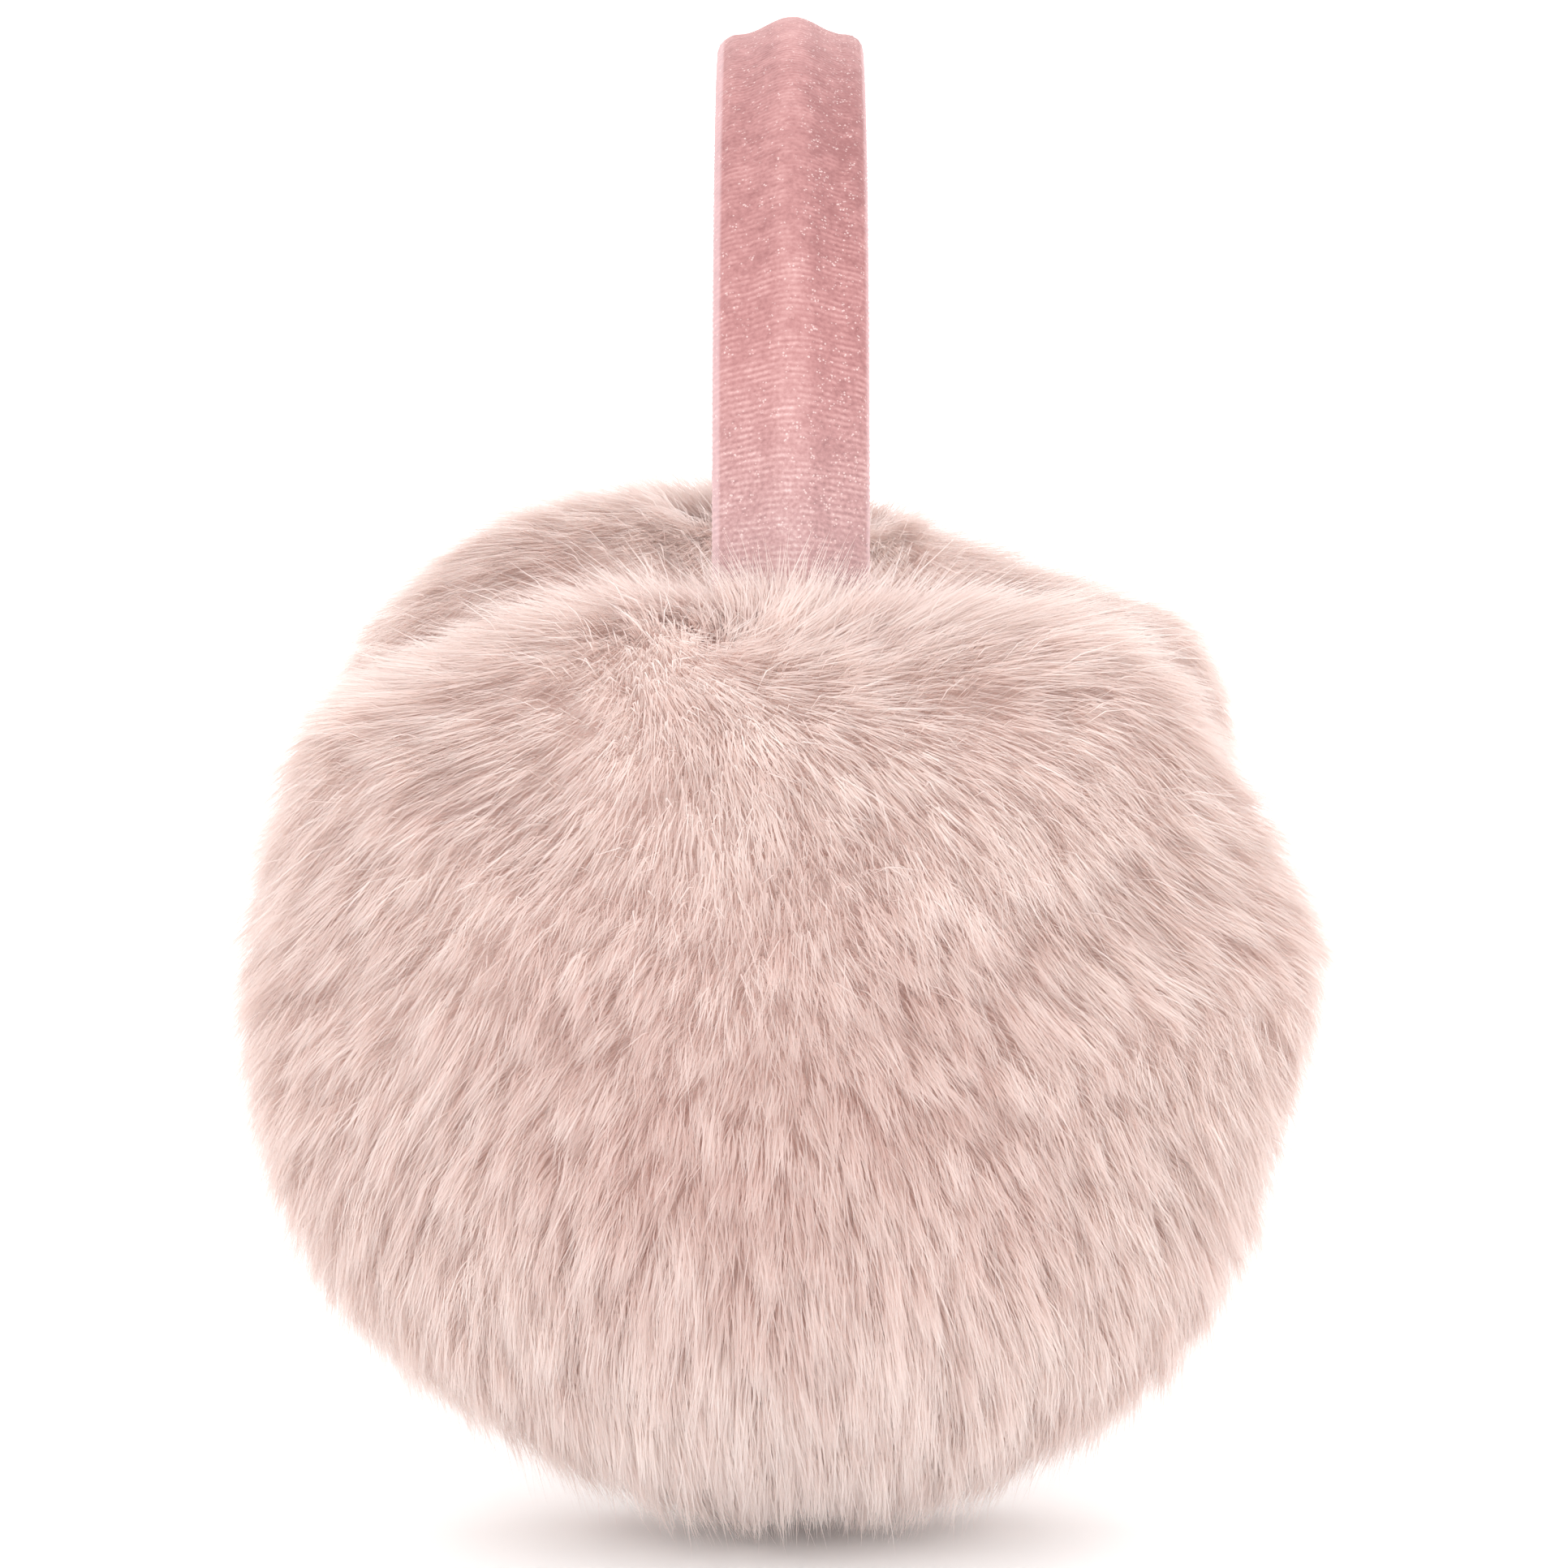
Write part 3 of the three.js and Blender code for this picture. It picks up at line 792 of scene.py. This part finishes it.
def furMaterial():
    material, graph, shader = newMaterial("blush_fur")
    place = graph.node("ShaderNodeUVMap", {"uv_map": "OFBake"}, {})
    tint = graph.node("ShaderNodeSeparateXYZ", {}, {0: place}, "X")
    along = graph.node("ShaderNodeSeparateXYZ", {}, {0: place}, "Y")
    rose = [(0.0, linear(206, 169, 161)), (0.45, linear(221, 193, 186)), (1.0, linear(229, 209, 203))]
    cream = [(0.0, linear(250, 232, 226)), (0.45, linear(252, 242, 238)), (1.0, linear(251, 244, 241))]
    base = graph.colours(graph.node("ShaderNodeValToRGB", {"stops": rose}, {"Fac": along}),
                         graph.node("ShaderNodeValToRGB", {"stops": cream}, {"Fac": along}), tint)
    feed(graph, base, shader, "Base Color")
    shader.inputs["Roughness"].default_value = 0.8
    shader.inputs["Specular IOR Level"].default_value = 0.2
    shader.inputs["Sheen Weight"].default_value = 0.25
    shader.inputs["Sheen Roughness"].default_value = 0.5
    through = graph.node("ShaderNodeBsdfTranslucent", {}, {"Color": colour(249, 239, 235)})
    front = Wire(graph, shader.outputs["BSDF"])
    both = graph.node("ShaderNodeMixShader", {}, {0: fur["through"], 1: front, 2: through})
    end = next(n for n in material.node_tree.nodes if n.type == "OUTPUT_MATERIAL")
    graph.tree.links.new(both.socket, end.inputs["Surface"])
    return material


def skinMaterial():
    material, graph, shader = newMaterial("fur_backing")
    spot = graph.node("ShaderNodeTexCoord", {}, {}, "Object")
    weave = graph.node("ShaderNodeTexNoise", {}, {"Vector": spot, "Scale": 600.0, "Detail": 3.0})
    stops = [(0.3, linear(250, 228, 222)), (0.7, linear(254, 240, 235))]
    feed(graph, graph.node("ShaderNodeValToRGB", {"stops": stops}, {"Fac": weave}), shader, "Base Color")
    bump = graph.node("ShaderNodeBump", {}, {"Strength": 0.6, "Distance": 0.0005, "Height": weave})
    feed(graph, bump, shader, "Normal")
    shader.inputs["Roughness"].default_value = 0.95
    return material


halfTurn = Matrix.Translation((0, 2 * muffMiddle[1], 0)) @ Matrix.Rotation(math.pi, 4, "Z")


def makeMuffFur(node, rows, seed, strand, tree, material, backingMaterial):
    skin = makeSkin(5, "skin_field", rows)
    emitter = newObject("skin_field", skin)
    area = np.zeros(len(skin.polygons), np.float32)
    skin.polygons.foreach_get("area", area)
    corners = np.zeros(len(skin.polygons) * 3, np.int32)
    skin.polygons.foreach_get("vertices", corners)
    growth = np.zeros(len(skin.vertices), np.float32)
    skin.attributes["growth"].data.foreach_get("value", growth)
    places = np.zeros(len(skin.vertices) * 3, np.float32)
    skin.vertices.foreach_get("co", places)
    corners = corners.reshape(-1, 3)
    middleY = places.reshape(-1, 3)[corners][:, :, 1].mean(1) - muffMiddle[1]
    weight = area * growth[corners].mean(1)
    backing = newObject(node.replace("fur", "fur_backing"), makeSkin(4, "fur_backing", rows), backingMaterial)
    for name in fieldNames:
        backing.data.attributes.remove(backing.data.attributes[name])
    backing.data.polygons.foreach_set("use_smooth", np.ones(len(backing.data.polygons), bool))
    pieces = [backing]
    for label, side, strandSeed in (("front", -1.0, seed + 4), ("rear", 1.0, seed + 37)):  # -Y and +Y
        total = float(weight[middleY * side > 0].sum())
        values = {"Strand": strand, "Density": fur["strandsPerHalf"] / total, "Side": side,
                  "Lock Spacing": fur["lockSpacing"], "Lock Pull": fur["lockPull"],
                  "Lock Stray": fur["lockStray"], "Strand Stray": fur["strandStray"],
                  "Strand Width": fur["width"], "Seed": seed, "Strand Seed": strandSeed,
                  "Material": material}
        half = grown(emitter, tree, values, f"{node}_{label}")
        print(half.name, len(half.data.polygons) // 2, "strands")
        pieces.append(half)
    bpy.data.objects.remove(emitter)
    return pieces


def makeFur():
    strand = makeUnitStrand()
    shared = (strand, furTree(), furMaterial(), skinMaterial())
    right = makeMuffFur("fur_right", outlineRows, fur["seed"], *shared)
    left = makeMuffFur("fur_left", otherRows, fur["otherSeed"], *shared)
    for piece in left:
        piece.data.transform(halfTurn)
    for node, pieces in (("fur_right", right), ("fur_left", left)):
        for piece in pieces:
            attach(piece, "root")
            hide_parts(node)
    bpy.data.objects.remove(strand)


makeFur()


# ear pads

pad = {
    "radius": (padBox[1].z - padBox[0].z) / 2,
    "front": padBox[0].x,
    "back": padBox[1].x,
    "swell": 1.2 * mm,  # the shape starts this much smaller and is blown up
    "voxel": 3.5 * mm,
    "pressure": 4.0,
    "frames": 20,
    "cap": 2.2 * mm,
    "edge": 3.5 * mm,  # how round its front edge is
    "sides": 64,
    "fill": 0.8,
}


def padMesh():  # a closed disc about the pad's axis, a little slack
    radius = pad["radius"] - pad["swell"]
    front, back = pad["front"] + pad["swell"], pad["back"] - 0.3 * mm
    edge = pad["edge"]
    profile = [(0, front)]
    profile += [(radius * share, front + 0.6 * mm * share**4) for share in np.linspace(0.1, 0.86, 8)]
    profile += [(radius - edge + edge * math.sin(a), front + 1 * mm + edge - edge * math.cos(a))
                for a in np.linspace(0.3, math.pi / 2, 5)]
    profile += [(radius, back - 2 * mm), (radius - 1 * mm, back), (radius * 0.5, back), (0, back)]
    sides = pad["sides"]
    points = []
    for out, x in profile[1:-1]:
        for a in np.linspace(0, 2 * math.pi, sides, endpoint=False):
            points.append((x, muffMiddle[1] + out * math.cos(a), muffMiddle[2] + out * math.sin(a)))
    faces = []
    rows = len(profile) - 2
    for r in range(rows - 1):
        for i in range(sides):
            j = (i + 1) % sides
            faces.append((r * sides + i, r * sides + j, (r + 1) * sides + j, (r + 1) * sides + i))
    points += [(front, muffMiddle[1], muffMiddle[2]), (back, muffMiddle[1], muffMiddle[2])]
    for i in range(sides):
        j = (i + 1) % sides
        faces.append((len(points) - 2, j, i))
        faces.append((len(points) - 1, (rows - 1) * sides + i, (rows - 1) * sides + j))
    mesh = meshOf("ear_pad", points, faces)
    closed = bmesh.new()
    closed.from_mesh(mesh)
    bmesh.ops.recalc_face_normals(closed, faces=closed.faces)
    closed.to_mesh(mesh)
    closed.free()
    return mesh


def swollen(piece):  # blows the pad up as cloth, with a cap on how far each point goes
    remesh = piece.modifiers.new("remesh", "REMESH")
    remesh.mode = "VOXEL"
    remesh.voxel_size = pad["voxel"]
    graph = bpy.context.evaluated_depsgraph_get()
    mesh = bpy.data.meshes.new_from_object(piece.evaluated_get(graph), depsgraph=graph)
    piece.modifiers.remove(remesh)
    piece.data = mesh
    start = np.zeros(len(mesh.vertices) * 3, np.float32)
    mesh.vertices.foreach_get("co", start)
    cloth = piece.modifiers.new("cloth", "CLOTH")
    cloth.settings.use_pressure = True
    cloth.settings.uniform_pressure_force = pad["pressure"]
    cloth.settings.effector_weights.gravity = 0
    cloth.settings.quality = 5
    for step in range(1, pad["frames"] + 1):
        bpy.context.scene.frame_set(step)
    graph = bpy.context.evaluated_depsgraph_get()
    blown = bpy.data.meshes.new_from_object(piece.evaluated_get(graph), depsgraph=graph)
    end = np.zeros(len(blown.vertices) * 3, np.float32)
    blown.vertices.foreach_get("co", end)
    piece.modifiers.remove(cloth)
    bpy.context.scene.frame_set(1)
    moved = (end - start).reshape(-1, 3)
    far = np.linalg.norm(moved, axis=1)
    moved *= (np.minimum(far, pad["cap"]) / np.maximum(far, 1e-9))[:, None]
    places = start.reshape(-1, 3) + moved
    places[:, 0] = np.clip(places[:, 0], pad["front"] - 1.5 * mm, pad["back"] - 0.1 * mm)
    mesh.vertices.foreach_set("co", places.astype(np.float32).ravel())
    mesh.update()
    finer = piece.modifiers.new("finer", "SUBSURF")
    finer.levels = 1
    finer.render_levels = 1
    graph = bpy.context.evaluated_depsgraph_get()
    mesh = bpy.data.meshes.new_from_object(piece.evaluated_get(graph), depsgraph=graph)
    piece.modifiers.remove(finer)
    mesh.polygons.foreach_set("use_smooth", np.ones(len(mesh.polygons), bool))
    piece.data = mesh


def plushMaterial():
    material, graph, shader = newMaterial("pink_plush")
    spot = graph.node("ShaderNodeTexCoord", {}, {}, "Object")
    broad = graph.node("ShaderNodeTexNoise", {}, {"Vector": spot, "Scale": 70.0, "Detail": 3.0})
    fine = graph.node("ShaderNodeTexNoise", {}, {"Vector": spot, "Scale": 1400.0, "Detail": 3.0})
    tufts = graph.node("ShaderNodeTexVoronoi", {}, {"Vector": spot, "Scale": 800.0})
    tone = broad * 0.5 + fine * 0.35 + tufts * 0.3
    stops = [(0.25, linear(206, 158, 152)), (0.55, linear(226, 186, 178)), (0.85, linear(240, 212, 204))]
    feed(graph, graph.node("ShaderNodeValToRGB", {"stops": stops}, {"Fac": tone}), shader, "Base Color")
    height = fine * 0.5 + tufts * 0.6
    bump = graph.node("ShaderNodeBump", {}, {"Strength": 0.8, "Distance": 0.0006, "Height": height})
    feed(graph, bump, shader, "Normal")
    shader.inputs["Roughness"].default_value = 0.9
    shader.inputs["Sheen Weight"].default_value = 0.5
    shader.inputs["Sheen Roughness"].default_value = 0.4
    return material


def makePads():
    material = plushMaterial()
    right = newObject("ear_pad_cushion_right", padMesh())
    swollen(right)
    right.data.materials.append(material)
    mesh = right.data.copy()
    mesh.transform(Matrix.Scale(-1, 4, (1, 0, 0)))
    mesh.flip_normals()
    left = newObject("ear_pad_cushion_left", mesh)
    for piece, node in ((right, "ear_pad_right"), (left, "ear_pad_left")):
        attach(piece, "root")
        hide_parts(node)
    print("ear pads made:", len(right.data.polygons), "faces each")


makePads()
